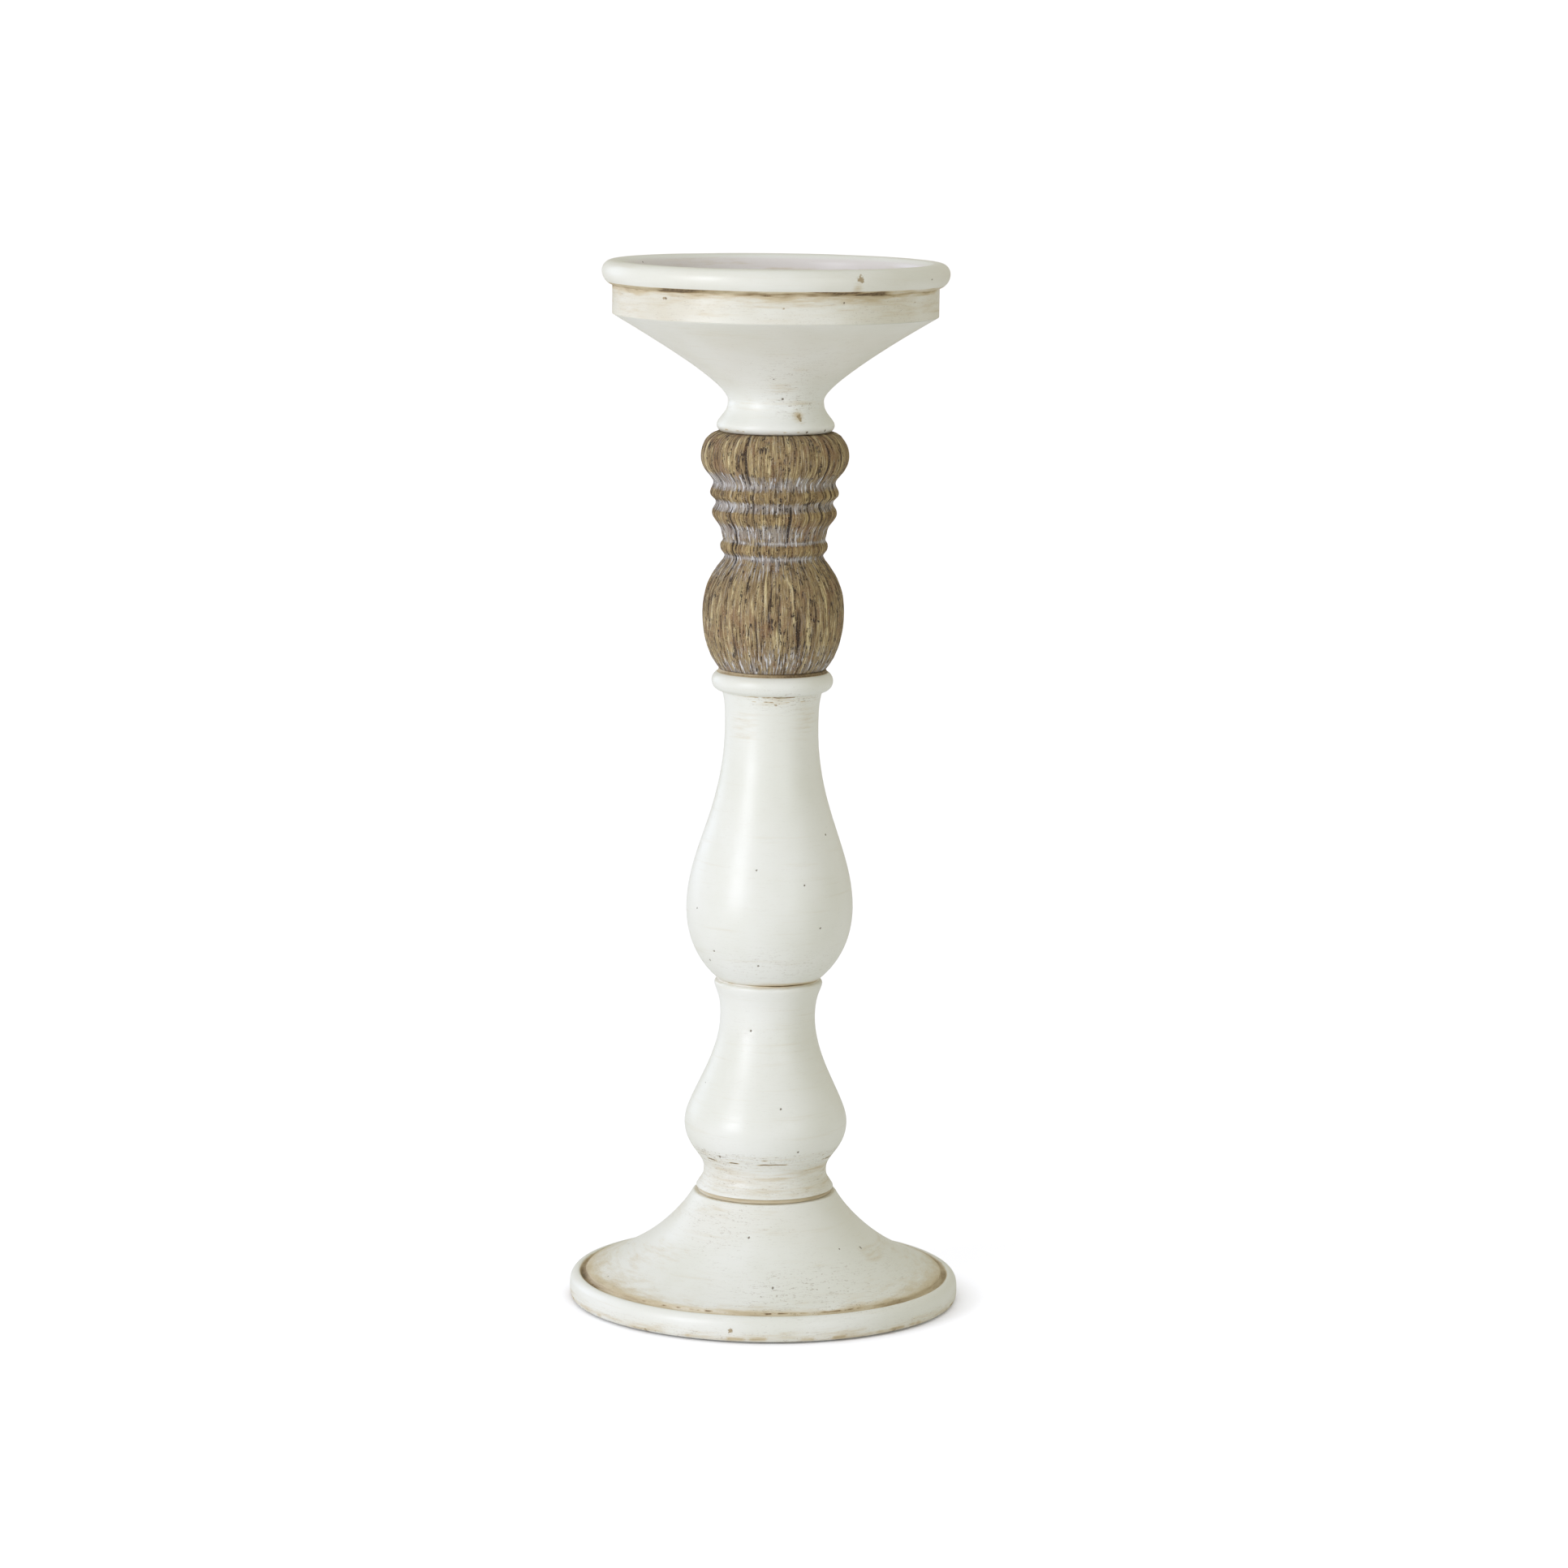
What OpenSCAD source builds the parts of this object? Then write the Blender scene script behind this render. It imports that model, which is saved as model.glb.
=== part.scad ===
// Turned pillar candlestick: five turned wooden sections, spigoted one into the
// next and drawn together by a threaded tie rod down the middle.
// Millimetres. +Z is up, and the origin is the centre of the underside.

/* [Base] */
// Diameter of the base over its rounded rim
base_d = 133.4; // [133:0.2:138]
// Height of the base, up to the seam under the lower baluster
base_h = 37.5; // [36:0.5:42]
// Height of the rounded rim
base_rim_h = 9; // [8:0.5:9]
// Diameter at which the cone rises out of the groove inside the rim
base_cone_d = 123; // [118:0.5:123]
// Diameter of the top of the cone
base_top_d = 49.2; // [48.6:0.2:54]

/* [Lower baluster] */
// Height of the lower baluster between its seams
lower_h = 74.4; // [74:0.2:84]
// Diameter of the foot, above the narrow groove
lower_foot_d = 47.3; // [45:0.1:48.4]
// Diameter of the cove above the foot
lower_cove_d = 42.1; // [38:0.1:44]
// Height of the cove above the seam
lower_cove_z = 7.9; // [6:0.1:10]
// Diameter of the belly
lower_belly_d = 55.7; // [48:0.1:60]
// Height of the belly above the seam
lower_belly_z = 24.3; // [22:0.1:28]
// Diameter of the waist
lower_waist_d = 32.5; // [30:0.1:36]
// Height of the waist above the seam
lower_waist_z = 61.3; // [56:0.1:64]
// Diameter of the flange under the upper baluster
lower_flange_d = 37.1; // [36:0.1:40]

/* [Upper baluster] */
// Height of the upper baluster between its seams
upper_h = 106.4; // [104:0.2:116]
// Diameter where it stands on the flange
upper_foot_d = 35.7; // [34:0.1:36.2]
// Diameter of the belly
upper_belly_d = 56.8; // [48:0.1:60]
// Height of the belly above the seam
upper_belly_z = 24.5; // [20:0.1:30]
// Diameter of the waist
upper_waist_d = 31.8; // [28:0.1:33]
// Height of the waist above the seam
upper_waist_z = 87.1; // [80:0.1:90]
// Diameter of the collar bead at the top
collar_d = 41.4; // [40:0.1:46]
// Thickness of the collar bead
collar_t = 7; // [6:0.1:8]

/* [Bare wood stem] */
// Height of the bare wood stem between its seams
stem_h = 80.6; // [80:0.2:84]
// Diameter where it stands on the collar
stem_foot_d = 36.2; // [35:0.1:36.8]
// Diameter of the lower bulb
stem_bulb_d = 48; // [42:0.1:52]
// Diameter at the bottom of the groove over the bulb
stem_groove_d = 33.2; // [31:0.1:34]
// Diameter of the small bead over the groove
stem_bead_d = 36.4; // [35.4:0.1:38]
// Diameter of the lower ring
stem_ring_low_d = 42.1; // [41:0.1:44]
// Diameter of the upper ring
stem_ring_high_d = 43.5; // [42.5:0.1:46]
// Diameter of the rounded shoulder at the top
stem_shoulder_d = 50; // [46:0.1:52]

/* [Dish] */
// Height of the dish section above its seam
dish_h = 57.1; // [56:0.1:62]
// Diameter of the flared foot of the dish
dish_foot_d = 39.9; // [38:0.1:42]
// Diameter of the neck
dish_neck_d = 32.6; // [30:0.1:34]
// Diameter of the upright band
dish_band_d = 109.9; // [104:0.1:111]
// Diameter over the rounded rim
dish_rim_d = 117; // [116:0.1:120]
// Depth of the dish from the rim to its flat floor
dish_depth = 12; // [10:0.5:13]
// Bore of the hoop that carries the band and the rim
hoop_bore_d = 94; // [92:0.5:96]

/* [Joints] */
// Diameter of the spigots that join the upper sections
spigot_d = 18; // [15:0.5:20]
// Diameter of the spigot under the lower baluster
foot_spigot_d = 28; // [22:0.5:30]
// Length of each spigot
spigot_l = 14; // [8:0.5:14]
// Gap between a spigot and its socket, on the radius
joint_gap = 0.15; // [0.1:0.05:0.3]

/* [Tie rod] */
// Diameter of the tie rod
rod_d = 7.9; // [5.9:0.1:7.9]
// Diameter of the hole for it through every section
rod_hole_d = 9; // [8.4:0.1:9.4]
// Width of a nut across its flats
nut_af = 13; // [11:0.5:13]
// Thickness of a nut
nut_t = 6.5; // [5:0.1:6.8]
// Thickness of the plain washers and of the spring washer
washer_t = 2; // [1.2:0.1:2]

/* [Underside] */
// Diameter of the felt pad
felt_d = 116; // [90:1:117]
// Thickness of the felt pad
felt_t = 1.6; // [1.2:0.1:2]

/* [Hidden] */

// How far the felt stands below the wood of the base, and its room in the recess
felt_proud = 0.6;
felt_room = 0.5;
// Height of the dish's neck and cone, up to the hoop
dish_cone_h = 39.2;
// Heights of the seams above the table
lower_seam = base_h;
upper_seam = lower_seam + lower_h;
stem_seam = upper_seam + upper_h;
dish_seam = stem_seam + stem_h;
rim_top = dish_seam + dish_h;
dish_floor = rim_top - dish_depth;
hoop_seam = dish_seam + dish_cone_h;

// The recess under the base and the counterbore in the dish that hide the nuts
recess_d = 30;
recess_top = 14;
counterbore_d = 22;
counterbore_h = 14;
counterbore_floor = dish_floor - counterbore_h;
plug_t = 4;
plug_gap = 0.05;

// The narrow groove between the base and the foot of the lower baluster
quirk_h = 1.4;
quirk_depth = 0.75;
// Radius of the small rounding on turned edges
edge_r = 0.3;
// Chamfer on the leading end of a spigot, and the room under that end
spigot_chamfer = 1;
socket_room = 0.5;

rod_hole_r = rod_hole_d / 2;
nut_hole_d = 8;
washer_hole_d = 8.4;
big_washer_d = 24;
small_washer_d = 20;
spring_washer_d = 14.8;
nut_bottom = recess_top - 2 * washer_t - nut_t;
// How far the rod stands out of the bottom nut, and its room under the plug
rod_proud = 1.1;
rod_room = 0.2;
rod_bottom = nut_bottom - rod_proud;
rod_top = dish_floor - plug_t - rod_room;

paint = "#e4e3da";
limed_wood = "#8c785f";
steel = "#b4b6b9";
felt = "#3b3a36";
$fn = 128;

// ---- Outlines. Every point is [radius, height]. ----

function cubic(p, c, d, q, t) =
    pow(1 - t, 3) * p + 3 * t * pow(1 - t, 2) * c + 3 * t * t * (1 - t) * d + t * t * t * q;

// A smooth flank from p up to q, without q itself. The handles a and b are
// fractions of its rise, and the end slopes are radius per height.
function flank(p, q, a, b, slope_p = 0, slope_q = 0, n = 10) =
    let (rise = q[1] - p[1])
    let (c = p + a * rise * [slope_p, 1])
    let (d = q - b * rise * [slope_q, 1])
    [for (i = [0 : n - 1]) cubic(p, c, d, q, i / n)];

// An arc about centre c, from angle a to angle b
function arc(c, r, a, b, n = 8) =
    [for (i = [0 : n]) c + r * [cos(a + (b - a) * i / n), sin(a + (b - a) * i / n)]];

// The spigot below a section, from the rod hole out to its shoulder
function spigot(d) = [
    [rod_hole_r, -spigot_l],
    [d / 2 - spigot_chamfer, -spigot_l],
    [d / 2, spigot_chamfer - spigot_l],
    [d / 2, 0]
];

// The socket in the top of a section of height h, from its mouth in to the rod hole
function socket(d, h) = [
    [d / 2 + joint_gap, h],
    [d / 2 + joint_gap, h - spigot_l - socket_room],
    [rod_hole_r, h - spigot_l - socket_room]
];

module turned(outline) {
    rotate_extrude() polygon(outline);
}

// ---- The turned sections ----

module base() {
    rim_r = 3.3;
    toe_r = 0.9;
    groove_r = 0.85;
    groove = [base_cone_d / 2 + groove_r, base_rim_h + 0.3];
    recess_r = felt_d / 2 + felt_room;
    color(paint) turned(concat(
        [[rod_hole_r, recess_top], [recess_d / 2, recess_top], [recess_d / 2, felt_t]],
        [[recess_r, felt_t], [recess_r, felt_proud]],
        arc([base_d / 2 - toe_r - 0.1, felt_proud + toe_r], toe_r, -90, 0, 4),
        arc([base_d / 2 - rim_r, base_rim_h - rim_r], rim_r, 0, 88),
        arc(groove, groove_r, -20, -200),
        flank([base_cone_d / 2, base_rim_h + 0.7], [base_top_d / 2, base_h], 0.29, 0.07, -3.1, -0.3, 18),
        [[base_top_d / 2, base_h]],
        socket(foot_spigot_d, base_h)
    ));
}

module lower_baluster() {
    quirk_r = lower_foot_d / 2 - quirk_depth;
    cove = [lower_cove_d / 2, lower_cove_z];
    belly = [lower_belly_d / 2, lower_belly_z];
    waist = [lower_waist_d / 2, lower_waist_z];
    flange = [lower_flange_d / 2, lower_h - 1.7];
    lip_r = 1.1;
    color(paint) translate([0, 0, lower_seam]) turned(concat(
        spigot(foot_spigot_d),
        [[quirk_r, 0], [quirk_r, quirk_h], [lower_foot_d / 2 - edge_r, quirk_h]],
        flank([lower_foot_d / 2, quirk_h + edge_r], cove, 0.49, 0.5, -0.59),
        flank(cove, belly, 0.33, 0.54, n = 14),
        flank(belly, waist, 0.22, 0.42, n = 18),
        flank(waist, flange, 0.65, 0.2, 0, 0.1),
        arc([flange[0] - lip_r, flange[1]], lip_r, 0, 80, 5),
        [[flange[0] - lip_r, lower_h - 0.6], [flange[0] - lip_r, lower_h]],
        socket(spigot_d, lower_h)
    ));
}

module upper_baluster() {
    foot = [upper_foot_d / 2, edge_r];
    belly = [upper_belly_d / 2, upper_belly_z];
    waist = [upper_waist_d / 2, upper_waist_z];
    bead_r = collar_t / 2;
    bead = [collar_d / 2 - bead_r, upper_h - bead_r - 0.45];
    lip_r = stem_foot_d / 2 + 0.4;
    color(paint) translate([0, 0, upper_seam]) turned(concat(
        spigot(spigot_d),
        [[foot[0] - edge_r, 0]],
        flank(foot, belly, 0.31, 0.29, 1.16, n = 14),
        flank(belly, waist, 0.32, 0.47, n = 22),
        flank(waist, [bead[0] - 0.1, bead[1] - bead_r], 0.6, 0.3, 0, 0.25),
        arc(bead, bead_r, -90, 66, 16),
        [[lip_r, upper_h - 0.6], [lip_r - 0.1, upper_h - 0.1], [lip_r - edge_r, upper_h]],
        socket(spigot_d, upper_h)
    ));
}

module bare_wood_stem() {
    foot = [stem_foot_d / 2, edge_r];
    bulb = [stem_bulb_d / 2, 19.7];
    groove = [stem_groove_d / 2, 38.7];
    bead = [stem_bead_d / 2, 41.9];
    quirk = [stem_bead_d / 2 - 0.9, 44.1];
    shelf = [stem_bead_d / 2 - 0.25, 47.3];
    ring_low = [stem_ring_low_d / 2, 53.1];
    cove_low = [stem_ring_low_d / 2 - 1.3, 56.5];
    ring_high = [stem_ring_high_d / 2, 59.9];
    cove_high = [stem_ring_high_d / 2 - 1.2, 63.3];
    shoulder = [stem_shoulder_d / 2, 72.4];
    crown = [dish_foot_d / 2 - 1.6, stem_h];
    // The rounded shoulder is a quarter of an ellipse up to the seam
    round_off = [for (a = [0 : 6 : 90])
        crown + [(shoulder[0] - crown[0]) * cos(a), (shoulder[1] - crown[1]) * (1 - sin(a))]];
    color(limed_wood) translate([0, 0, stem_seam]) turned(concat(
        spigot(spigot_d),
        [[foot[0] - edge_r, 0]],
        flank(foot, bulb, 0.34, 0.2, 0.84, n = 12),
        flank(bulb, groove, 0.65, 0.11, n = 14),
        flank(groove, bead, 0.27, 0.58, n = 6),
        flank(bead, quirk, 0.6, 0.4, n = 6),
        flank(quirk, shelf, 0.2, 0.4, 0, 0.1, 4),
        flank(shelf, ring_low, 0.35, 0.3, 0.2),
        flank(ring_low, cove_low, 0.5, 0.35, n = 6),
        flank(cove_low, ring_high, 0.55, 0.48, n = 6),
        flank(ring_high, cove_high, 0.3, 0.25, n = 6),
        flank(cove_high, shoulder, 0.24, 0.59, n = 12),
        round_off,
        socket(spigot_d, stem_h)
    ));
}

module drip_dish() {
    foot = [dish_foot_d / 2, 2.2];
    neck = [dish_neck_d / 2, 9.5];
    corner = [dish_band_d / 2, hoop_seam - dish_seam];
    floor_z = dish_floor - dish_seam;
    cut_z = counterbore_floor - dish_seam;
    plug_edge = hoop_bore_d / 2 - joint_gap;
    color(paint) translate([0, 0, dish_seam]) turned(concat(
        spigot(spigot_d),
        flank([foot[0] - 1.5, 0], foot, 0.1, 0.6, 1.2, 0, 5),
        flank(foot, neck, 0.27, 0.44),
        flank(neck, corner, 0.05, 0.84, 0, 1.7, 20),
        [corner, [plug_edge, corner[1]], [plug_edge, floor_z]],
        [[counterbore_d / 2, floor_z], [counterbore_d / 2, cut_z], [rod_hole_r, cut_z]]
    ));
}

// The hoop that sits round the raised floor of the dish, on the edge of its cone.
// It carries the upright band, the rounded rim and the inner wall.
module rim_hoop() {
    over_r = 3.6;
    under_r = 4.8;
    rim_z = rim_top - over_r;
    over = [dish_rim_d / 2 - over_r, rim_z];
    under = [dish_rim_d / 2 - under_r, rim_z];
    inner = [over[0] - 1.2, rim_z];
    band_r = dish_band_d / 2;
    bore_r = hoop_bore_d / 2;
    // Where the underside of the rim meets the band
    band_end = -acos((band_r - under[0]) / under_r);
    // The cove between the inner wall and the floor of the dish
    wall_r = inner[0] - over_r;
    cove_r = wall_r - bore_r;
    color(paint) turned(concat(
        [[bore_r, hoop_seam], [band_r, hoop_seam]],
        arc(under, under_r, band_end, -6, 12),
        arc(over, over_r, 0, 90, 10),
        arc(inner, over_r, 90, 180, 10),
        arc([bore_r, dish_floor + cove_r], cove_r, 0, -90, 8)
    ));
}

module floor_plug() {
    plug_r = counterbore_d / 2 - plug_gap;
    color(paint) translate([0, 0, dish_floor - plug_t])
        turned([[0, 0], [plug_r, 0], [plug_r, plug_t - 0.4], [plug_r - 0.4, plug_t], [0, plug_t]]);
}

// ---- The felt and the hardware ----

module felt_pad() {
    color(felt) cylinder(d = felt_d, h = felt_t);
}

module tie_rod() {
    chamfer = 0.8;
    rod_r = rod_d / 2;
    color(steel) turned([
        [0, rod_bottom], [rod_r - chamfer, rod_bottom], [rod_r, rod_bottom + chamfer],
        [rod_r, rod_top - chamfer], [rod_r - chamfer, rod_top], [0, rod_top]
    ]);
}

module washer(z, d) {
    color(steel) translate([0, 0, z]) difference() {
        cylinder(d = d, h = washer_t);
        translate([0, 0, -1]) cylinder(d = washer_hole_d, h = washer_t + 2);
    }
}

// A hexagon nut whose corners are turned back at both faces
module nut(z) {
    corner_r = nut_af / 2 / cos(30);
    chamfer = 0.7;
    color(steel) translate([0, 0, z]) difference() {
        intersection() {
            cylinder(r = corner_r, h = nut_t, $fn = 6);
            turned([
                [0, 0], [corner_r - chamfer, 0], [corner_r + 0.1, chamfer],
                [corner_r + 0.1, nut_t - chamfer], [corner_r - chamfer, nut_t], [0, nut_t]
            ]);
        }
        translate([0, 0, -1]) cylinder(d = nut_hole_d, h = nut_t + 2);
    }
}

module bottom_nut() {
    nut(nut_bottom);
}

module top_nut() {
    nut(counterbore_floor + washer_t);
}

module bottom_washer() {
    washer(recess_top - washer_t, big_washer_d);
}

module top_washer() {
    washer(counterbore_floor, small_washer_d);
}

// A split washer, drawn pressed flat
module spring_washer() {
    split = 12;
    color(steel) translate([0, 0, recess_top - 2 * washer_t])
        rotate_extrude(angle = 360 - split)
            translate([washer_hole_d / 2, 0]) square([(spring_washer_d - washer_hole_d) / 2, washer_t]);
}

felt_pad();
base();
lower_baluster();
upper_baluster();
bare_wood_stem();
drip_dish();
rim_hoop();
floor_plug();
tie_rod();
bottom_nut();
spring_washer();
bottom_washer();
top_washer();
top_nut();
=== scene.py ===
"""Looks of the turned pillar candlestick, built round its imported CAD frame. Lengths are in metres."""
import math
import bpy
import numpy as np
from mathutils import Matrix, Vector


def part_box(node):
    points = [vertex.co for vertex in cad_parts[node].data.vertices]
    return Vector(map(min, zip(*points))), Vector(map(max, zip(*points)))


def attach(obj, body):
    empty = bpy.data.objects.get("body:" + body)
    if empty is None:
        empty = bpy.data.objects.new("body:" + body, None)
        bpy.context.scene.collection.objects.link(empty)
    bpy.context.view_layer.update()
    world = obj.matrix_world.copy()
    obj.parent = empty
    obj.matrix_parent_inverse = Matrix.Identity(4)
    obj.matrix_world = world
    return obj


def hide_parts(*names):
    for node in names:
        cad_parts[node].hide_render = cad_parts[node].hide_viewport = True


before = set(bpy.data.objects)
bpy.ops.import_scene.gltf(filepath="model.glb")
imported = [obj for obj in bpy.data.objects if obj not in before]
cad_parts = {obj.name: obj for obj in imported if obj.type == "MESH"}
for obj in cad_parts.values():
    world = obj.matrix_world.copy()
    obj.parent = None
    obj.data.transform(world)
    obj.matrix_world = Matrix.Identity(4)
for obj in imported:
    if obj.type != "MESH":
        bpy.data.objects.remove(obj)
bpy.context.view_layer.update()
MM = 0.001


# ---------------------------------------------------------------- camera

# Where the photograph was taken from: in front, a little above the dish, looking slightly down.
CAMERA_PLACE = (0.0049, -1.7343, 0.4430)
CAMERA_DOWN = math.radians(8.664)
CAMERA_ROLL = math.radians(0.760)
CAMERA_LENS = 118.3


def add_camera():
    data = bpy.data.cameras.new("camera")
    data.lens = CAMERA_LENS
    data.sensor_width = 36
    camera = bpy.data.objects.new("camera", data)
    bpy.context.scene.collection.objects.link(camera)
    turn = Matrix.Rotation(math.pi / 2 - CAMERA_DOWN, 4, "X") @ Matrix.Rotation(CAMERA_ROLL, 4, "Z")
    camera.matrix_world = Matrix.Translation(CAMERA_PLACE) @ turn
    bpy.context.scene.camera = camera


add_camera()


# ---------------------------------------------------------------- noise

def lattice(i, j, k, seed):
    """A repeatable number from 0 to 1 for each whole-numbered corner."""
    h = (i * 374761393 + j * 668265263 + k * 2147483647 + seed * 1274126177) & 0xFFFFFFFF
    h = ((h ^ (h >> 13)) * 1103515245) & 0xFFFFFFFF
    h = ((h ^ (h >> 16)) * 2246822519) & 0xFFFFFFFF
    return ((h ^ (h >> 15)) & 0xFFFF) / 65535.0


def noise(x, y, z, seed):
    """Smooth noise from -1 to 1."""
    cell = [np.floor(v).astype(np.int64) for v in (x, y, z)]
    part = [v - c for v, c in zip((x, y, z), cell)]
    ease = [f * f * (3 - 2 * f) for f in part]
    total = np.zeros(np.shape(x + y + z))
    for a in (0, 1):
        for b in (0, 1):
            for c in (0, 1):
                weight = 1.0
                for pick, e in zip((a, b, c), ease):
                    weight = weight * (e if pick else 1 - e)
                total += weight * lattice(cell[0] + a, cell[1] + b, cell[2] + c, seed)
    return 2 * total - 1


def fractal(x, y, z, seed, octaves=3):
    """Several octaves of noise, still within about -1 to 1."""
    total, size = 0.0, 0.5
    for octave in range(octaves):
        grow = 2.0 ** octave
        total = total + size * noise(x * grow, y * grow, z * grow, seed + octave)
        size *= 0.5
    return total / (1 - 0.5 ** octaves)


def smoothstep(lo, hi, value):
    t = np.clip((value - lo) / (hi - lo), 0, 1)
    return t * t * (3 - 2 * t)


# ---------------------------------------------------------------- outlines from the CAD frame

CORNER = math.radians(32)   # a sharper turn than this is an edge, and a gentler one is part of a curve
DENSE = 0.08                # spacing in mm of an outline's points
TOUCH = 2e-6                # how near the XZ plane, in metres, a point of the seam lies


def meridian(node):
    """The closed outline of a turned node, as [radius, height] rows in mm, read where it crosses +X."""
    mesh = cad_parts[node].data
    places = np.zeros(len(mesh.vertices) * 3)
    mesh.vertices.foreach_get("co", places)
    places = places.reshape(-1, 3)
    ends = np.zeros(len(mesh.edges) * 2, dtype=np.int64)
    mesh.edges.foreach_get("vertices", ends)
    on_seam = (np.abs(places[:, 1]) < TOUCH) & (places[:, 0] > 0)
    links = {}
    for a, b in ends.reshape(-1, 2):
        if on_seam[a] and on_seam[b]:
            p, q = (tuple(np.round(places[i][[0, 2]] / MM, 3)) for i in (a, b))
            if p != q:
                links.setdefault(p, set()).add(q)
                links.setdefault(q, set()).add(p)
    # A flat ring has no edge along the seam, so its two circles are joined here.
    loose = sorted((p for p in links if len(links[p]) == 1), key=lambda p: (p[1], p[0]))
    for p, q in zip(loose[::2], loose[1::2]):
        links[p].add(q)
        links[q].add(p)
    start = min(links)
    path, last = [start], None
    while True:
        ahead = [q for q in sorted(links[path[-1]]) if q != last]
        last = path[-1]
        if ahead[0] == start or len(path) > len(links):
            break
        path.append(ahead[0])
    outline = np.array(path)
    r, z = outline.T
    twice_area = np.sum(r * np.roll(z, -1) - np.roll(r, -1) * z)
    return outline if twice_area > 0 else outline[::-1]


def smooth_run(points):
    """Closely spaced points on a smooth curve through the given ones."""
    step = np.linalg.norm(np.diff(points, axis=0), axis=1)[:, None]
    way = np.diff(points, axis=0) / step
    if len(points) > 2:
        inner = (way[:-1] * step[1:] + way[1:] * step[:-1]) / (step[:-1] + step[1:])
        heading = np.vstack([2 * way[0] - inner[0], inner, 2 * way[-1] - inner[-1]])
    else:
        heading = np.vstack([way, way])
    out = []
    for i in range(len(points) - 1):
        length = step[i, 0]
        t = np.arange(0, 1, DENSE / length)[:, None]
        out.append((2 * t**3 - 3 * t**2 + 1) * points[i] + (t**3 - 2 * t**2 + t) * length * heading[i]
                   + (3 * t**2 - 2 * t**3) * points[i + 1] + (t**3 - t**2) * length * heading[i + 1])
    return np.vstack(out)


def turning(points):
    """The angle turned at each point of a closed outline: positive on an outward corner."""
    way = np.roll(points, -1, 0) - points
    angle = np.arctan2(way[:, 1], way[:, 0])
    turn = angle - np.roll(angle, 1)
    return (turn + math.pi) % (2 * math.pi) - math.pi


def blur(values, width):
    """Values along a closed, DENSE-spaced outline, averaged over a bell of that width in mm."""
    reach = int(4 * width / DENSE)
    bell = np.exp(-0.5 * (np.arange(-reach, reach + 1) * DENSE / width) ** 2)
    bell /= bell.sum()
    padded = np.concatenate([values[-reach:], values, values[:reach]])
    return np.convolve(padded, bell, "valid")


def even(points):
    """A closed outline resampled at DENSE spacing."""
    closed = np.vstack([points, points[:1]])
    along = np.concatenate([[0], np.cumsum(np.linalg.norm(np.diff(closed, axis=0), axis=1))])
    at = np.arange(0, along[-1], DENSE)
    return np.stack([np.interp(at, along, closed[:, i]) for i in (0, 1)], axis=1)


def dense_outline(node, hides, soften):
    """The node's outline with smooth curves and softened corners, where it shows, and how it bends."""
    rough = meridian(node)
    corners = [i for i, a in enumerate(turning(rough)) if abs(a) > CORNER]
    rough = np.roll(rough, -corners[0], 0)
    corners = [i - corners[0] for i in corners] + [len(rough)]
    closed = np.vstack([rough, rough[:1]])
    points = even(np.vstack([smooth_run(closed[a:b + 1]) for a, b in zip(corners, corners[1:])]))
    shows = blur(1.0 - hides(points[:, 0], points[:, 1]), 0.2)[:, None]
    soft = np.stack([blur(points[:, i], soften) for i in (0, 1)], axis=1)
    points = points + (soft - points) * smoothstep(0.5, 1.0, shows)
    bend = turning(points) / DENSE
    return points, shows[:, 0], bend


# ---------------------------------------------------------------- turned meshes

LEAN = 0.45   # the most, in mm, that the stack of turnings stands off its axis


def bow(height):
    """How far the stack stands off its axis, to the right, at a height in mm."""
    return LEAN * smoothstep(40, 130, height) * (1 - smoothstep(312, 338, height))


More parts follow.
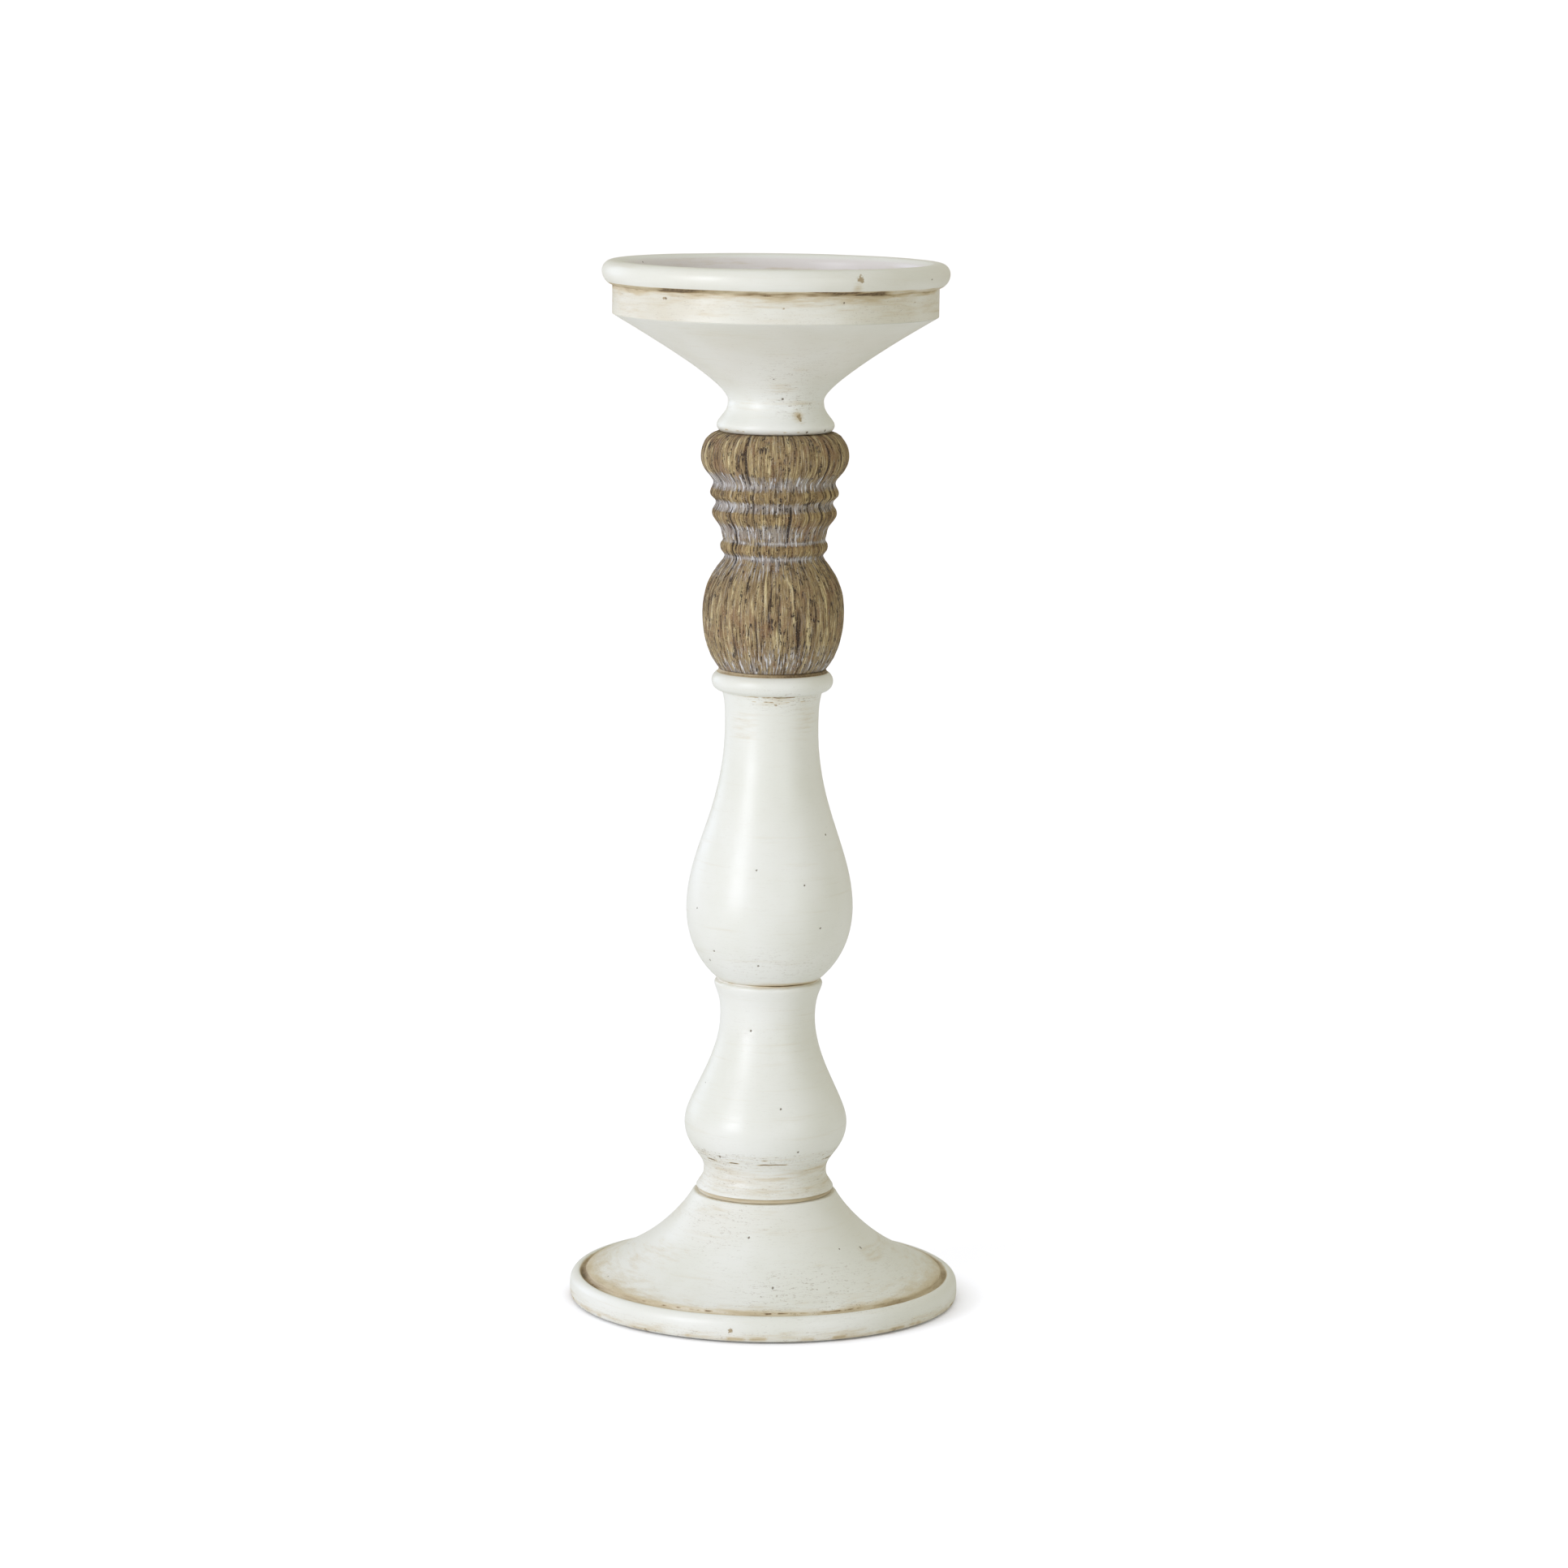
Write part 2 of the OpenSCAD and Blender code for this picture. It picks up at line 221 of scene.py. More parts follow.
class Skin:
    """What a turned piece's surface is worked from: one row per ring and one column per step round."""

    def __init__(self, node, rings, around, hides, soften=0.22, fine=()):
        points, shows, bend = dense_outline(node, hides, soften)
        close = sum(np.exp(-((points[:, 1] - height) / 0.6) ** 2) for height in fine) if fine else 0
        density = 0.04 + shows * (0.5 + 1.6 * np.minimum(blur(np.abs(bend), 0.3), 1.2) + 4 * close)
        summed = np.concatenate([[0], np.cumsum(density)])
        at = np.linspace(0, summed[-1], rings, endpoint=False)
        pick = np.interp(at, summed, np.arange(len(summed)))
        index = np.arange(len(points) + 1)

        def ring(values):
            return np.interp(pick, index, np.append(values, values[0]))[:, None]

        hollow = np.maximum(-bend, 0)
        ahead = np.roll(points, -1, 0) - np.roll(points, 1, 0)
        ahead /= np.linalg.norm(ahead, axis=1)[:, None]
        self.node = node
        self.r = ring(points[:, 0])
        self.z = ring(points[:, 1])
        self.out_r = ring(ahead[:, 1])
        self.out_z = ring(-ahead[:, 0])
        self.shows = ring(shows)
        self.crease = ring(blur(hollow, 0.45))
        self.hollow = ring(blur(hollow, 2.6))
        self.turn = np.linspace(0, 2 * math.pi, around, endpoint=False)[None, :]
        self.x = self.r * np.cos(self.turn)
        self.y = self.r * np.sin(self.turn)
        self.raised = np.zeros(np.broadcast_shapes(self.r.shape, self.turn.shape))
        self.fields = {}

    def grain(self, size, size_z, seed, octaves=3):
        """Noise whose patches are about size mm round the piece and size_z mm along it."""
        return fractal(self.x / size, self.y / size, self.z / size_z + 0 * self.turn, seed, octaves)

    def patch(self, azimuth, height, wide, tall):
        """A soft spot at an azimuth in degrees, 0 in front and 90 on the right, and a height in mm."""
        facing = math.radians(azimuth - 90)
        apart = (self.turn - facing + math.pi) % (2 * math.pi) - math.pi
        return np.exp(-0.5 * ((self.r * apart / wide) ** 2 + ((self.z - height) / tall) ** 2))

    def band(self, lo, hi, soft=0.25):
        """A level stretch between two heights, with soft ends."""
        return smoothstep(lo - soft, lo + soft, self.z) * (1 - smoothstep(hi - soft, hi + soft, self.z))

    def line(self, height, tall, seed, cover=0.4, size=4, wander=0.15):
        """A thin broken line round the piece at a height in mm."""
        across, along = 8 * np.cos(self.turn), 8 * np.sin(self.turn)
        level = height + wander * fractal(across, along, 0 * self.turn, seed, 2)
        there = smoothstep(1 - 2 * cover, 1.35 - 2 * cover, self.grain(size, 40, seed + 5, 2))
        return np.exp(-((self.z - level) / tall) ** 2) * there

    def mesh(self, name):
        rings, around = self.raised.shape
        lift = self.raised * self.shows
        r = self.r + self.out_r * lift
        x = r * np.cos(self.turn) + bow(self.z) * self.shows
        places = np.stack([x, r * np.sin(self.turn), self.z + self.out_z * lift], axis=2) * MM
        i, j = np.meshgrid(np.arange(rings), np.arange(around), indexing="ij")
        i_next, j_next = (i + 1) % rings, (j + 1) % around
        quads = np.stack([i * around + j, i * around + j_next,
                          i_next * around + j_next, i_next * around + j], axis=2).reshape(-1)
        mesh = bpy.data.meshes.new(name)
        mesh.vertices.add(rings * around)
        mesh.vertices.foreach_set("co", places.reshape(-1))
        mesh.loops.add(len(quads))
        mesh.loops.foreach_set("vertex_index", quads)
        mesh.polygons.add(rings * around)
        mesh.polygons.foreach_set("loop_start", np.arange(0, len(quads), 4))
        mesh.polygons.foreach_set("use_smooth", np.ones(rings * around, dtype=bool))
        mesh.update(calc_edges=True)
        for field, values in self.fields.items():
            layer = mesh.attributes.new(field, "FLOAT", "POINT")
            shaped = np.broadcast_to(np.clip(values, 0, 1), self.raised.shape)
            layer.data.foreach_set("value", shaped.astype(np.float32).reshape(-1))
        return mesh


def add_piece(skin, name, material):
    piece = bpy.data.objects.new(name, skin.mesh(name))
    bpy.context.scene.collection.objects.link(piece)
    piece.data.materials.append(material)
    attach(piece, "root")
    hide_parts(skin.node)
    return piece


# ---------------------------------------------------------------- materials

def colour(red, green, blue):
    """A colour given as 0 to 255 on screen, as linear light."""
    parts = [v / 255 for v in (red, green, blue)]
    return tuple(v / 12.92 if v <= 0.04045 else ((v + 0.055) / 1.055) ** 2.4 for v in parts) + (1.0,)


GRAIN_RADIUS = 20 * MM   # the wood's grain is laid out on a cylinder of this size


class Graph:
    """A material's nodes, with short ways to add the ones this scene needs."""

    def __init__(self, name):
        self.material = bpy.data.materials.new(name)
        self.material.use_nodes = True
        self.tree = self.material.node_tree
        self.tree.nodes.clear()
        self.shader = self.add("ShaderNodeBsdfPrincipled")
        output = self.add("ShaderNodeOutputMaterial")
        self.tree.links.new(self.shader.outputs[0], output.inputs[0])

    def add(self, kind, **settings):
        node = self.tree.nodes.new(kind)
        for key, value in settings.items():
            setattr(node, key, value)
        return node

    def feed(self, socket, value):
        if isinstance(value, bpy.types.NodeSocket):
            self.tree.links.new(value, socket)
        else:
            socket.default_value = value

    def coords(self, stretch=(1, 1, 1)):
        place = self.add("ShaderNodeTexCoord").outputs["Object"]
        mapping = self.add("ShaderNodeMapping")
        self.feed(mapping.inputs["Vector"], place)
        mapping.inputs["Scale"].default_value = stretch
        return mapping.outputs["Vector"]

    def lengthwise(self, shrink):
        """Coordinates whose patches run up the piece and follow its outline, drawn out by 1 / shrink."""
        parts = self.add("ShaderNodeSeparateXYZ")
        self.feed(parts.inputs[0], self.add("ShaderNodeTexCoord").outputs["Object"])
        level, bearing, scaled, placed = (self.add(kind) for kind in (
            "ShaderNodeCombineXYZ", "ShaderNodeVectorMath", "ShaderNodeVectorMath", "ShaderNodeCombineXYZ"))
        self.feed(level.inputs[0], parts.outputs[0])
        self.feed(level.inputs[1], parts.outputs[1])
        bearing.operation, scaled.operation = "NORMALIZE", "SCALE"
        self.feed(bearing.inputs[0], level.outputs[0])
        self.feed(scaled.inputs[0], bearing.outputs[0])
        scaled.inputs["Scale"].default_value = GRAIN_RADIUS
        flat = self.add("ShaderNodeSeparateXYZ")
        self.feed(flat.inputs[0], scaled.outputs[0])
        self.feed(placed.inputs[0], flat.outputs[0])
        self.feed(placed.inputs[1], flat.outputs[1])
        self.feed(placed.inputs[2], self.math("MULTIPLY", parts.outputs[2], shrink))
        return placed.outputs[0]

    def field(self, name):
        return self.add("ShaderNodeAttribute", attribute_name=name).outputs["Fac"]

    def noise(self, coords, size_mm, detail=4.0, rough=0.5, bend=0.0):
        node = self.add("ShaderNodeTexNoise")
        self.feed(node.inputs["Vector"], coords)
        node.inputs["Scale"].default_value = 1 / (size_mm * MM)
        node.inputs["Detail"].default_value = detail
        node.inputs["Roughness"].default_value = rough
        node.inputs["Distortion"].default_value = bend
        return node.outputs["Fac"]

    def cells(self, coords, size_mm):
        """Distance to the nearest of scattered points, and a number of that point's own."""
        node = self.add("ShaderNodeTexVoronoi")
        self.feed(node.inputs["Vector"], coords)
        node.inputs["Scale"].default_value = 1 / (size_mm * MM)
        own = self.add("ShaderNodeSeparateColor")
        self.feed(own.inputs[0], node.outputs["Color"])
        return node.outputs["Distance"], own.outputs[0]

    def math(self, operation, a, b=0.0):
        node = self.add("ShaderNodeMath", operation=operation)
        self.feed(node.inputs[0], a)
        self.feed(node.inputs[1], b)
        return node.outputs[0]

    def between(self, value, lo, hi, out_lo=0.0, out_hi=1.0):
        node = self.add("ShaderNodeMapRange", interpolation_type="SMOOTHSTEP")
        for socket, number in zip(node.inputs, (value, lo, hi, out_lo, out_hi)):
            self.feed(socket, number)
        return node.outputs[0]

    def mix(self, factor, a, b):
        node = self.add("ShaderNodeMix", data_type="RGBA")
        for index, value in ((0, factor), (6, a), (7, b)):
            self.feed(node.inputs[index], value)
        return node.outputs[2]

    def bump(self, height, distance_mm, strength=1.0):
        node = self.add("ShaderNodeBump")
        self.feed(node.inputs["Height"], height)
        node.inputs["Distance"].default_value = distance_mm * MM
        node.inputs["Strength"].default_value = strength
        return node.outputs["Normal"]

    def finish(self, base, roughness, normal=None, **settings):
        self.feed(self.shader.inputs["Base Color"], base)
        self.feed(self.shader.inputs["Roughness"], roughness)
        if normal is not None:
            self.feed(self.shader.inputs["Normal"], normal)
        for key, value in settings.items():
            self.feed(self.shader.inputs[key.replace("_", " ")], value)
        return self.material


CHALK_WHITE = colour(240, 242, 240)
CLOUDED_WHITE = colour(234, 236, 231)
CREAM_STREAK = colour(218, 211, 192)
# Painted shade: a darker grey for the inside of the dish and rim
INSIDE_SHADE_GREY = colour(231, 228, 229)
# A cream tone: painted shade on the dish's cone and on the hoop, and a cream tone on the base and the lower
# baluster's foot
AGED_AND_SHADED_CREAM = colour(206, 194, 164)
TAN_GLAZE = colour(203, 187, 152)
BROWN_GLAZE = colour(148, 124, 86)
DARK_GLAZE = colour(80, 62, 40)
SCRATCH_BROWN = colour(120, 94, 58)
CHIP_TAN = colour(166, 146, 112)
PINHOLE_BROWN = colour(96, 78, 56)
PINHOLE_SPACING = 6.5


def antique_paint(name, inside=None):
    """White paint brushed on in the lathe, with pinholes, and brown glaze where its field says.

    The dish's inside is painted a darker grey as painted shade, which a part without fields gets all over by
    its inside value."""
    g = Graph(name)
    place = g.coords()
    glaze, aged_and_shade, chip, pit = (g.field(name) for name in ("glaze", "aged_and_shade", "chip", "pit"))
    scratch = g.field("scratch")
    inside = g.field("inside") if inside is None else inside
    clouds = g.noise(place, 38, 3)
    streaks = g.noise(g.coords((1, 1, 20)), 34, 5, 0.6)
    strokes = g.noise(g.coords((1, 1, 9)), 9, 5, 0.7)
    hairs = g.noise(g.coords((1, 1, 12)), 8, 3, 0.55, 0.4)
    fine = g.noise(place, 0.9, 4, 0.65)
    white = g.mix(g.between(clouds, 0.35, 0.65), CHALK_WHITE, CLOUDED_WHITE)
    white = g.mix(g.between(streaks, 0.56, 0.80, 0, 0.30), white, CREAM_STREAK)
    # Painted shade: the inside of the dish and rim is made a darker grey
    white = g.mix(inside, white, INSIDE_SHADE_GREY)
    # The cream tone where its field says: painted shade on the dish's cone and the hoop, a cream tone on the
    # base and the lower baluster's foot
    white = g.mix(aged_and_shade, white, AGED_AND_SHADED_CREAM)
    # Brown glaze: a tan haze, brown where it lies thick, and a dark grit where it is thickest
    haze = g.math("ADD", glaze, g.math("MULTIPLY", g.math("SUBTRACT", strokes, 0.5), 0.7))
    grit = g.math("ADD", glaze, g.math("MULTIPLY", g.math("SUBTRACT", fine, 0.5), 0.55))
    touched = g.between(glaze, 0.02, 0.12)
    thin_haze = g.math("MULTIPLY", touched, g.between(haze, 0.04, 0.55, 0, 0.85))
    white = g.mix(thin_haze, white, TAN_GLAZE)
    white = g.mix(g.between(haze, 0.46, 0.95, 0, 0.85), white, BROWN_GLAZE)
    white = g.mix(g.between(grit, 0.80, 1.10, 0, 0.9), white, DARK_GLAZE)
    # Fine scratches that run round the piece, only where their field says
    thin = g.math("ABSOLUTE", g.math("SUBTRACT", hairs, 0.5))
    line = g.math("MULTIPLY", g.between(thin, 0.004, 0.018, 1, 0), g.between(fine, 0.44, 0.56))
    line = g.math("MULTIPLY", line, scratch)
    white = g.mix(line, white, SCRATCH_BROWN)
    # Scattered pinholes of unlike sizes, the pits that the mesh has, and chips down to the ground coat
    distance, own = g.cells(place, PINHOLE_SPACING)
    beyond = g.math("SUBTRACT", distance, g.between(own, 0.6, 1.0, -0.02, 0.06))
    pinhole = g.between(beyond, -0.01, 0.015, 0.9, 0)
    pit_dark = g.between(g.math("ADD", pit, g.math("MULTIPLY", fine, 0.3)), 0.58, 0.85, 0, 0.85)
    pin = g.math("MAXIMUM", pinhole, pit_dark)
    ragged = g.math("ADD", chip, g.math("MULTIPLY", g.math("SUBTRACT", fine, 0.5), 1.1))
    white = g.mix(g.between(ragged, 0.40, 0.62, 0, 0.9), white, CHIP_TAN)
    base = g.mix(pin, white, PINHOLE_BROWN)
    rough = g.between(g.math("ADD", strokes, g.math("MULTIPLY", glaze, 0.5)), 0.2, 1.1, 0.27, 0.56)
    relief = g.math("ADD", g.math("MULTIPLY", streaks, 0.25), g.math("MULTIPLY", fine, 0.08))
    relief = g.math("SUBTRACT", relief, g.math("MULTIPLY", pin, 0.8))
    relief = g.math("SUBTRACT", relief, g.math("MULTIPLY", line, 0.3))
    normal = g.bump(relief, 0.12, 0.5)
    return g.finish(base, rough, normal, Specular_IOR_Level=0.5)


DARK_GRAIN = colour(66, 53, 43)
BROWN_GRAIN = colour(138, 117, 88)
TAN_GRAIN = colour(164, 144, 107)
GOLDEN_GRAIN = colour(222, 206, 162)
RUSTY_PATCH = colour(140, 106, 80)
ASHY_PATCH = colour(100, 83, 68)
RING_SHADE = colour(104, 82, 56)
RING_GOLD = colour(178, 152, 102)
LIME_GREY = colour(160, 154, 152)
LIME_WHITE = colour(218, 216, 218)
LIME_DASH = colour(224, 225, 230)
CRACK_BROWN = colour(56, 46, 44)
PALE_SPECK = colour(220, 208, 176)
SEAM_BROWN = colour(72, 57, 38)


def limed_wood():
    """Brown open-grained wood: dark cracks, golden ridges, and grey lime in the hollows."""
    g = Graph("limed_wood")
    place = g.coords()
    crack, lime, ridge, seam = (g.field(name) for name in ("crack", "lime", "ridge", "seam"))
    fibre = g.noise(g.lengthwise(0.06), 0.42, 3, 0.65, 0.3)
    bands = g.noise(g.lengthwise(0.06), 1.1, 4, 0.6, 0.4)
    cleft = g.noise(g.lengthwise(0.08), 1.5, 3, 0.6, 0.6)
    dashes = g.noise(g.lengthwise(0.12), 0.55, 2, 0.5)
    blotch = g.noise(g.coords((1, 1, 0.6)), 6, 4, 0.6)
    speckle = g.noise(place, 0.40, 2, 0.7)
    mottle = g.noise(place, 1.8, 4, 0.7)
    tone = g.math("ADD", g.math("MULTIPLY", fibre, 0.50), g.math("MULTIPLY", bands, 0.50))
    wood = g.mix(g.between(tone, 0.38, 0.45), DARK_GRAIN, BROWN_GRAIN)
    wood = g.mix(g.between(tone, 0.46, 0.52), wood, TAN_GRAIN)
    wood = g.mix(g.between(tone, 0.54, 0.60, 0, 0.95), wood, GOLDEN_GRAIN)
    wood = g.mix(g.between(blotch, 0.50, 0.64, 0, 0.5), wood, RUSTY_PATCH)
    wood = g.mix(g.between(mottle, 0.56, 0.70, 0, 0.45), wood, ASHY_PATCH)
    rubbed = g.math("MULTIPLY", ridge, g.between(mottle, 0.35, 0.6, 0.3, 0.9))
    wood = g.mix(rubbed, wood, g.mix(g.between(tone, 0.42, 0.56), RING_SHADE, RING_GOLD))
    # Lime wax: a grey film in the hollows, and pale dashes in the open grain
    film = g.math("ADD", lime, g.math("MULTIPLY", g.math("SUBTRACT", mottle, 0.5), 1.3))
    film = g.math("ADD", film, g.math("MULTIPLY", g.math("SUBTRACT", fibre, 0.5), 2.4))
    wood = g.mix(g.between(film, 0.15, 0.75, 0, 0.78), wood, LIME_GREY)
    wood = g.mix(g.between(film, 0.85, 1.3, 0, 0.85), wood, LIME_WHITE)
    pale = g.math("MULTIPLY", g.between(dashes, 0.57, 0.64), g.between(lime, 0.05, 0.45, 0.08, 0.95))
    wood = g.mix(pale, wood, LIME_DASH)
    # Dark clefts along the grain, in places only, and the cracks that the mesh has
    thin = g.math("ABSOLUTE", g.math("SUBTRACT", cleft, 0.5))
    line = g.math("MULTIPLY", g.between(thin, 0.008, 0.035, 1, 0), g.between(mottle, 0.46, 0.56))
    dark = g.math("MAXIMUM", g.math("MULTIPLY", line, 0.95), crack)
    dark = g.math("ADD", dark, g.math("MULTIPLY", g.between(speckle, 0.59, 0.72), 0.5))
    wood = g.mix(g.between(dark, 0.15, 0.9, 0, 0.92), wood, CRACK_BROWN)
    wood = g.mix(g.between(speckle, 0.40, 0.28, 0, 0.6), wood, PALE_SPECK)
    base = g.mix(seam, wood, SEAM_BROWN)
    relief = g.math("ADD", tone, g.math("MULTIPLY", speckle, 0.30))
    relief = g.math("SUBTRACT", relief, g.math("MULTIPLY", dark, 0.5))
    normal = g.bump(relief, 0.5, 1.0)
    return g.finish(base, g.between(tone, 0.4, 0.6, 0.75, 0.55), normal, Specular_IOR_Level=0.2)


def zinc_steel():
    """Bright zinc plating with a faint bluish bloom and turning marks."""
    g = Graph("zinc_plated_steel")
    bloom = g.noise(g.coords(), 4, 3)
    marks = g.noise(g.coords((1, 1, 12)), 3, 3)
    base = g.mix(bloom, colour(196, 200, 204), colour(178, 176, 164))
    rough = g.between(marks, 0.3, 0.7, 0.28, 0.45)
    return g.finish(base, rough, g.bump(marks, 0.03), Metallic=1.0)


def pressed_felt():
    """Dark wool felt with loose fibres."""
    g = Graph("pressed_felt")
    fibre = g.noise(g.coords(), 0.8, 5, 0.7, 1.2)
    clump = g.noise(g.coords(), 5, 3)
    base = g.mix(fibre, colour(40, 38, 36), colour(74, 70, 64))
    base = g.mix(g.math("MULTIPLY", clump, 0.3), base, colour(58, 52, 46))
    return g.finish(base, 0.95, g.bump(fibre, 0.5), Sheen_Weight=0.5, Sheen_Roughness=0.5)


PAINT = antique_paint("antique_white_paint")
# The floor plug's paint has the darker inside grey all over, as painted shade
SHADED_INSIDE_PAINT = antique_paint("antique_paint_with_inside_shade", 1.0)
WOOD = limed_wood()
STEEL = zinc_steel()
FELT = pressed_felt()


# ---------------------------------------------------------------- painted sections

base_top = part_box("base")[1].z / MM
flange_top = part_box("lower_baluster")[1].z / MM
collar_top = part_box("upper_baluster")[1].z / MM
stem_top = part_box("bare_wood_stem")[1].z / MM
hoop_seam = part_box("rim_hoop")[0].z / MM
rim_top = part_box("rim_hoop")[1].z / MM


PIT_SIZE = 0.38
PIT_DEPTH = 0.2
CHIP_DEPTH = 0.12


def paint_fields(skin, seed, glaze, chip, scratch, pits, inside=0, aged_and_shade=0, crease_gain=0.2, haze_gain=0.5):
    """Uneven turning, and the brown glaze that stays in creases, with a piece's own glaze and marks.

    pits are (azimuth, height) pairs. The dish's inside has neither pits nor chips."""
    skin.raised += 0.11 * skin.grain(24, 24, seed) + 0.008 * skin.grain(40, 2.2, seed + 10, 2)
    patchy = 0.8 + 0.7 * skin.grain(18, 12, seed + 20)
    streaky = 0.7 + 0.8 * skin.grain(26, 1.4, seed + 30)
    soft = crease_gain * skin.crease * patchy + haze_gain * skin.hollow * patchy * streaky
    ragged = 1 + 0.6 * skin.grain(1.4, 1.4, seed + 50, 2)
    marked = inside < 0.01
    pit = sum(skin.patch(azimuth, height, PIT_SIZE, PIT_SIZE) for azimuth, height in pits) * marked
    chip = chip * marked
    skin.raised -= CHIP_DEPTH * smoothstep(0.45, 0.9, chip * ragged) + PIT_DEPTH * pit
    skin.fields = {"glaze": soft + glaze * (0.6 + 0.5 * patchy), "chip": chip * ragged,
                   "scratch": scratch * patchy, "inside": inside, "aged_and_shade": aged_and_shade * patchy, "pit": pit}


def make_base():
    skin = Skin("base", 176, 560, lambda r, z: (r < 22.8) | (z < 0.7), soften=0.45, fine=(9.2,))
    skin.raised -= 0.45 * np.exp(-((skin.r - 62.2) / 1.2) ** 2) * (skin.z > 7)
    sides = 0.5 + 0.5 * np.cos(2 * skin.turn)
    inward = np.maximum(62.4 - skin.r, 0)
    fine_line = (0.5 - 0.25 * sides) * np.exp(-(inward / 1.5) ** 2)
    groove = fine_line + 0.75 * np.exp(-inward / (3.5 + 4.5 * sides))
    groove = groove * (skin.z > 7)
    groove = groove * np.exp(-(np.maximum(skin.r - 62.6, 0) / 0.7) ** 2)
    low = (1 - smoothstep(1.0, 6.5, skin.z)) * (skin.r > 60)
    ledge = (skin.r < 24.2) * skin.band(base_top - 0.5, base_top + 1, 0.2)
    clouds = 0.13 * smoothstep(-0.1, 0.5, skin.grain(18, 5, 120)) * skin.band(14, 37, 5)
    glaze = groove * (0.52 + 0.24 * sides + 0.35 * skin.grain(18, 2, 140)) + 0.30 * ledge + clouds
    glaze = glaze + low * (0.16 + 0.60 * np.clip(skin.grain(14, 1.3, 110) + 0.05, 0, 1))
    glaze = glaze + 0.5 * skin.line(1.6, 0.5, 170, 0.4, 5, 0.3) * (skin.r > 60)
    front_left = np.clip(skin.patch(-16, 9.2, 16, 3) + 0.5 * skin.patch(20, 9.2, 14, 3), 0, 1)
    glaze = glaze + 1.1 * skin.line(9.3, 0.22, 150, 0.5, 2.0) * front_left
    scratch = 0.5 * groove + 0.6 * low
    scratch = scratch + 0.7 * skin.patch(25, 14, 22, 4) + 0.5 * skin.patch(-20, 30, 14, 5) + 0.05
    foot = (1 - smoothstep(0.8, 3.0, skin.z)) * (skin.r > 60)
    chip = 0.8 * foot * smoothstep(0.25, 0.6, skin.grain(3, 1.5, 130))
    chip = np.maximum(chip, 0.75 * skin.patch(-9, 4.4, 0.9, 0.9))
    pits = ((-9, 28), (4, 15), (60, 22), (150, 20), (205, 27), (262, 16))
    # A cream tone near the top of the cone and near the bottom of the rim
    aged_and_shade = 0.10 * skin.band(26, 37, 5) + 0.16 * low
    paint_fields(skin, 100, glaze, chip, scratch, pits, aged_and_shade=aged_and_shade, crease_gain=0, haze_gain=0.2)
    return add_piece(skin, "turned_base", PAINT)


def make_lower_baluster():
    skin = Skin("lower_baluster", 330, 290,
                lambda r, z: (z < base_top + 0.05) | (z > flange_top + 0.05) | (r < 14.3),
                fine=(51.2, 53.0, flange_top - 0.3))
    quirk = skin.band(base_top - 1, base_top + 1.5, 0.15)
    ledge = skin.band(flange_top - 1.7, flange_top + 1, 0.3) * (skin.r < 18.4)
    edge = np.exp(-((skin.z - flange_top) / 0.35) ** 2)
    dark = edge * (0.10 + 0.9 * skin.patch(24, flange_top, 7, 2) + 0.2 * skin.grain(5, 9, 240))
    foot = skin.band(base_top + 2, 50, 1.5)
    right = 0.4 + 0.9 * skin.patch(35, 45, 12, 12)
    glaze = 0.40 * quirk + 0.14 * ledge + dark
    glaze = glaze + foot * (0.10 + 0.55 * np.clip(skin.grain(16, 1.2, 210), 0, 1) * right)
    near = skin.band(50, 55, 0.8)
    glaze = glaze + 0.12 * near
    glaze = glaze + 1.5 * skin.line(51.2, 0.2, 250, 0.55, 5) + 1.2 * skin.line(53.0, 0.16, 260, 0.35, 4)
    scratch = near * (0.9 + 0.5 * skin.grain(14, 3, 220)) + 0.4 * foot + 0.08
    chip = 0.75 * skin.patch(52, 53.6, 0.8, 0.6) + 0.7 * skin.patch(58, 51.4, 1.5, 0.3)
    pits = ((-38, 53), (25, 56), (-20, 96), (12, 71), (140, 60), (230, 82))
    aged_and_shade = 0.12 * foot
    paint_fields(skin, 200, glaze, chip, scratch, pits, aged_and_shade=aged_and_shade, crease_gain=0.12)
    return add_piece(skin, "turned_lower_baluster", PAINT)


def make_upper_baluster():
    skin = Skin("upper_baluster", 320, 300,
                lambda r, z: (z < flange_top - 0.02) | (z > collar_top + 0.05) | (r < 9.3),
                fine=(210.6, 208.9, collar_top - 0.3))
    foot = np.exp(-np.abs(skin.z - flange_top) / 1.3) * (skin.z > flange_top - 0.5)
    lip = skin.band(collar_top - 0.9, collar_top + 1, 0.15)
    dark = 0.5 * skin.patch(24, flange_top, 7, 0.6)
    front = np.clip(skin.patch(8, 210, 8, 3), 0, 1)
    marks = 1.1 * skin.line(210.6, 0.16, 310, 0.6, 2) * front + skin.line(208.9, 0.14, 320, 0.5, 2) * front
    smudge = 0.16 * skin.patch(-38, 200, 5, 5) + 0.16 * skin.patch(45, 202, 5, 5)
    smudge = smudge + 0.22 * skin.patch(4, 209, 4, 1.2)
    glaze = 0.34 * foot + 0.8 * lip + dark + marks + smudge
    scratch = 0.8 * skin.patch(14, 209.5, 9, 2.2) + 0.5 * skin.patch(20, 119, 16, 4) + 0.06
    pits = ((-45, 124), (-55, 120), (-8, 120), (38, 133), (-10, 153), (-60, 138),
            (160, 131), (215, 170), (120, 150))
    chip = 0.75 * skin.patch(5, 208.2, 0.9, 0.5)
    paint_fields(skin, 300, glaze, chip, scratch, pits, crease_gain=0.12, haze_gain=0.35)
    return add_piece(skin, "turned_upper_baluster", PAINT)


